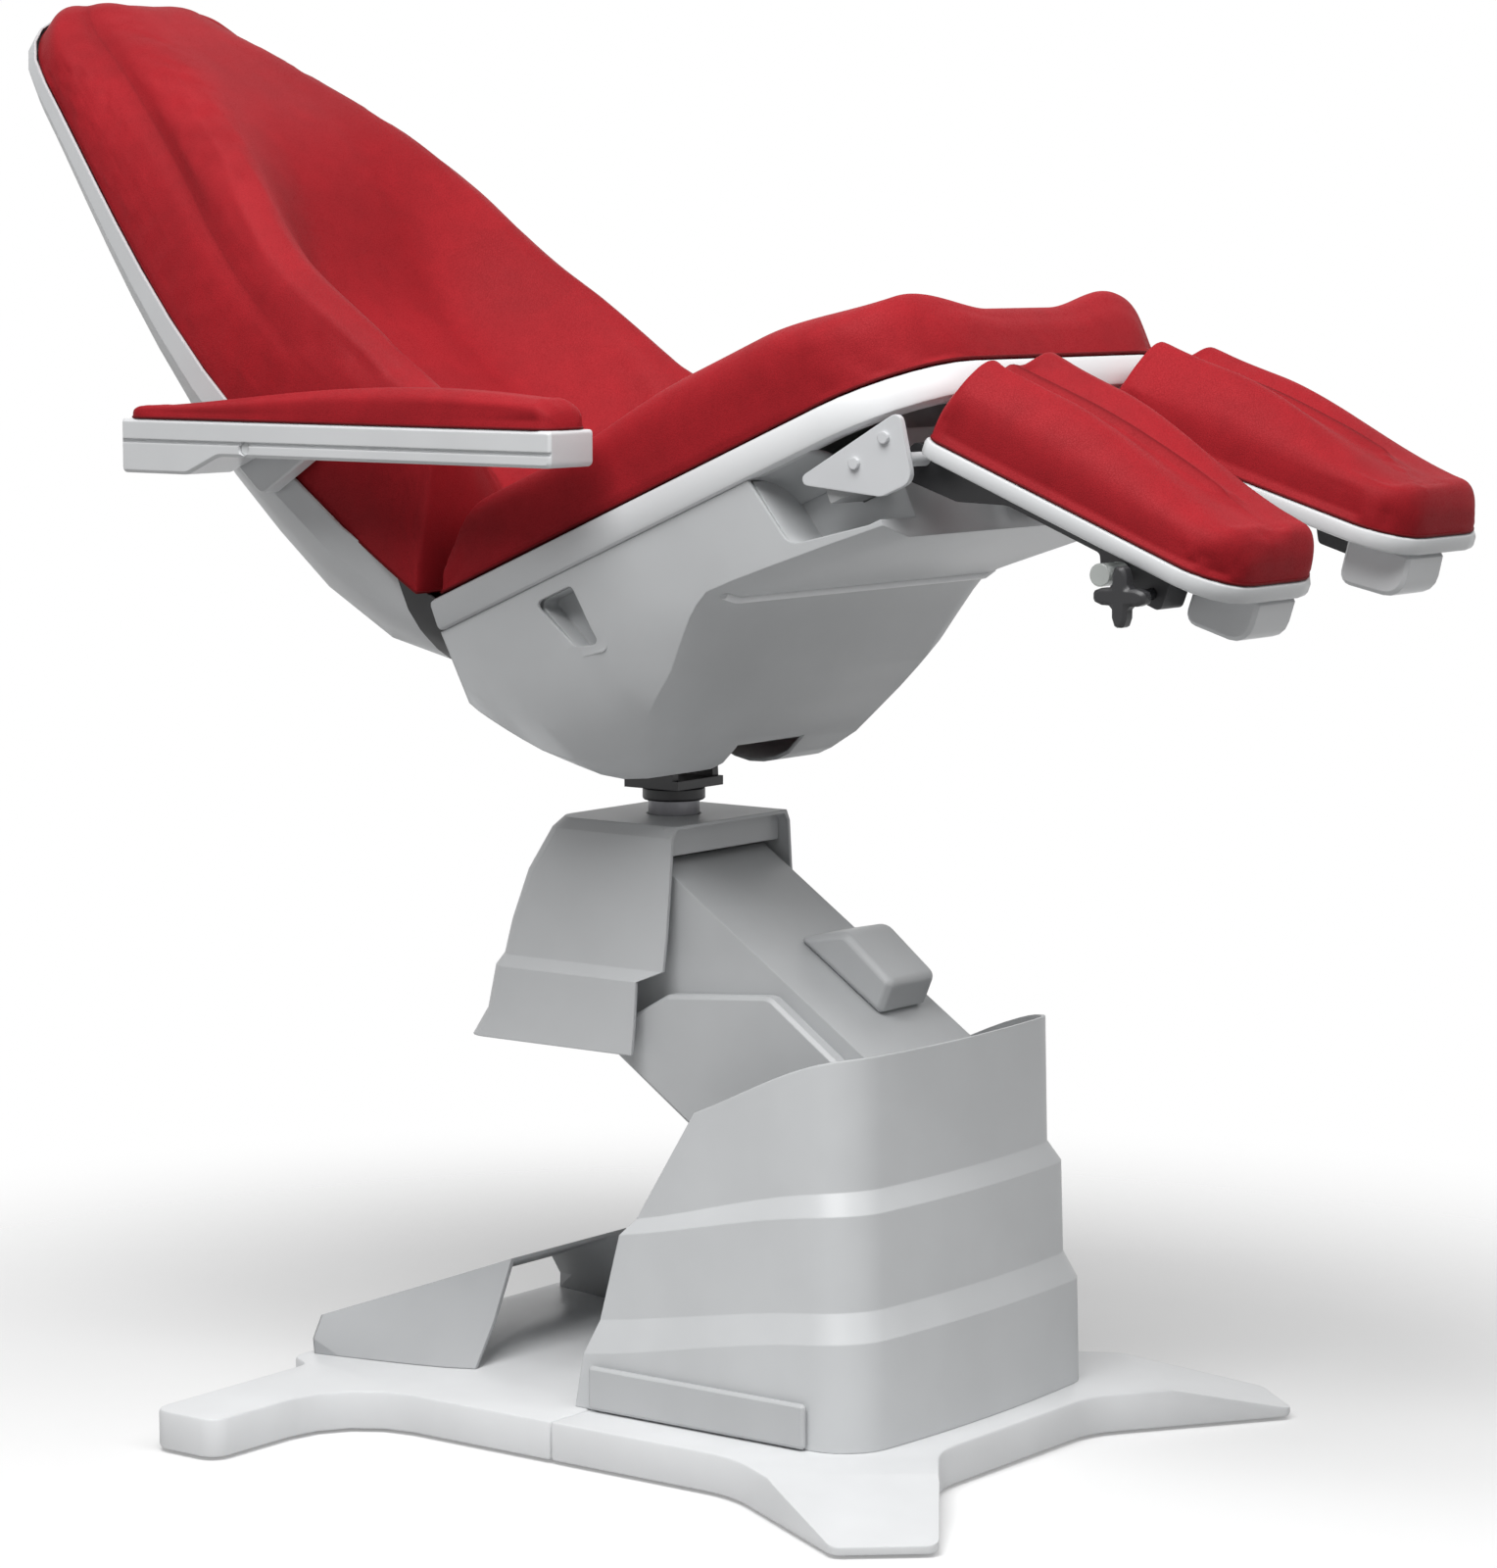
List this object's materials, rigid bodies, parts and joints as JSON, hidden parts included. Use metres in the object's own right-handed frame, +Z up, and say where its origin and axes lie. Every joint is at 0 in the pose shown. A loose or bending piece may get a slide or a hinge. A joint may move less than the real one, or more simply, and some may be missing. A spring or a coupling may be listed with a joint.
{
  "type": "podiatry chair",
  "caption": "Powered podiatry treatment chair: red padded seat, reclining back, two sliding leg rests and arm rests on a lifting, swivelling, tilting column with a four-footed base.",
  "frame": {"origin": "on the floor under the floor plate, below the middle of the column", "axes": "+Z up, -Y the way the sitter faces, -X the sitter's right"},
  "size_m": [0.988, 1.7027, 1.5244],
  "materials": {
    "white_plastic": "satin moulded",
    "grey_plastic": "satin moulded",
    "red_vinyl": "vinyl-coated fabric over foam",
    "painted_steel": "dark grey powder coat",
    "bright_steel": "ground",
    "black_plastic": "fine grain",
    "black_steel": "black powder coat",
    "grey_metal": "light grey paint",
    "clear_nylon": "translucent"
  },
  "bodies": {
    "base": {"floor_plate": "painted_steel", "base_cover_front": "white_plastic", "base_cover_rear": "white_plastic", "rear_cover": "grey_plastic", "column_cover": "grey_plastic", "side_plate_r": "grey_plastic", "side_plate_l": "grey_plastic", "column_frame": "painted_steel", "lift_pin": "bright_steel", "link_pin": "bright_steel", "actuator_pin": "bright_steel"},
    "arm": {"upper_link": "painted_steel", "arm_cover": "grey_plastic", "arm_side_r": "grey_plastic", "arm_side_l": "grey_plastic", "motor_cover": "grey_plastic"},
    "link": {"lower_link": "painted_steel", "rod_pin": "bright_steel"},
    "tube": {"actuator_tube": "black_steel"},
    "rod": {"actuator_rod": "bright_steel"},
    "head": {"head_frame": "painted_steel", "head_cover": "grey_plastic", "head_pin": "bright_steel", "head_link_pin": "bright_steel", "swivel_spindle": "bright_steel"},
    "swivel": {"swivel_boss": "black_plastic", "tilt_yoke": "painted_steel", "tilt_pin": "bright_steel"},
    "seat": {"seat_frame": "painted_steel", "seat_shell": "grey_plastic", "seat_rim": "white_plastic", "seat_apron": "grey_plastic", "seat_cushion": "red_vinyl", "knee_beam": "black_steel", "knee_bracket_r": "grey_metal", "knee_bracket_l": "grey_metal"},
    "back": {"back_shell": "white_plastic", "back_frame": "painted_steel", "back_cushion": "red_vinyl", "rest_bracket_r": "white_plastic", "rest_bracket_l": "white_plastic"},
    "rest_r": {"rest_rail_r": "white_plastic", "rest_pad_r": "red_vinyl"},
    "leg_r": {"leg_rail_r": "black_steel", "leg_bush_r": "clear_nylon"},
    "leg_slide_r": {"leg_tray_r": "white_plastic", "leg_cushion_r": "red_vinyl", "leg_handle_r": "white_plastic"},
    "knob_r": {"leg_knob_r": "black_plastic"},
    "rest_l": {"rest_rail_l": "white_plastic", "rest_pad_l": "red_vinyl"},
    "leg_l": {"leg_rail_l": "black_steel", "leg_bush_l": "clear_nylon"},
    "leg_slide_l": {"leg_tray_l": "white_plastic", "leg_cushion_l": "red_vinyl", "leg_handle_l": "white_plastic"},
    "knob_l": {"leg_knob_l": "black_plastic"}
  },
  "joints": [
    {"name": "lift", "type": "hinge", "parent": "base", "child": "arm", "pos_m": [0, -0.06, 0.328], "axis": [1, 0, 0], "range_deg": [-26, 4]},
    {"name": "head_level", "type": "hinge", "parent": "arm", "child": "head", "pos_m": [0, 0.22021, 0.51701], "axis": [1, 0, 0], "range_deg": [-4, 26]},
    {"name": "link_swing", "type": "hinge", "parent": "base", "child": "link", "pos_m": [0, -0.03, 0.273], "axis": [1, 0, 0], "range_deg": [-26, 4]},
    {"name": "tube_swing", "type": "hinge", "parent": "base", "child": "tube", "pos_m": [0, 0.06, 0.05], "axis": [1, 0, 0], "range_deg": [-10.41, 1.6]},
    {"name": "rod_stroke", "type": "slide", "parent": "tube", "child": "rod", "axis": [0, 0.2862, 0.9582], "range_m": [-0.0744, 0.01145]},
    {"name": "swivel", "type": "hinge", "parent": "head", "child": "swivel", "pos_m": [0, 0.225, 0.66], "axis": [0, 0, 1], "range_deg": [-90, 90]},
    {"name": "seat_tilt", "type": "hinge", "parent": "swivel", "child": "seat", "pos_m": [0, 0.225, 0.8], "axis": [1, 0, 0], "range_deg": [-4, 23]},
    {"name": "back_recline", "type": "hinge", "parent": "seat", "child": "back", "pos_m": [0, 0.33589, 0.85638], "axis": [1, 0, 0], "range_deg": [-60, 0]},
    {"name": "leg_drop_r", "type": "hinge", "parent": "seat", "child": "leg_r", "pos_m": [0, -0.24987, 1.04527], "axis": [1, 0, 0], "range_deg": [0, 40]},
    {"name": "leg_stretch_r", "type": "slide", "parent": "leg_r", "child": "leg_slide_r", "axis": [0, -0.9304, -0.3665], "range_m": [0, 0.1]},
    {"name": "knob_turn_r", "type": "hinge", "parent": "leg_r", "child": "knob_r", "pos_m": [0, -0.50918, 0.92593], "axis": [1, 0, 0], "range_deg": [-120, 120]},
    {"name": "rest_lift_r", "type": "hinge", "parent": "back", "child": "rest_r", "pos_m": [0, 0.505, 1.04], "axis": [1, 0, 0], "range_deg": [-80, 0]},
    {"name": "leg_drop_l", "type": "hinge", "parent": "seat", "child": "leg_l", "pos_m": [0, -0.24987, 1.04527], "axis": [1, 0, 0], "range_deg": [0, 40]},
    {"name": "leg_stretch_l", "type": "slide", "parent": "leg_l", "child": "leg_slide_l", "axis": [0, -0.9573, -0.289], "range_m": [0, 0.1]},
    {"name": "knob_turn_l", "type": "hinge", "parent": "leg_l", "child": "knob_l", "pos_m": [0, -0.51808, 0.94758], "axis": [1, 0, 0], "range_deg": [-120, 120]},
    {"name": "rest_lift_l", "type": "hinge", "parent": "back", "child": "rest_l", "pos_m": [0, 0.505, 1.04], "axis": [1, 0, 0], "range_deg": [-80, 0]}
  ],
  "couplings": [
    {"joint": "head_level", "follows": "lift", "ratio": -1},
    {"joint": "link_swing", "follows": "lift", "ratio": 1},
    {"joint": "tube_swing", "follows": "lift", "ratio": 0.4},
    {"joint": "rod_stroke", "follows": "lift", "m_per_rad": 0.1638}
  ]
}
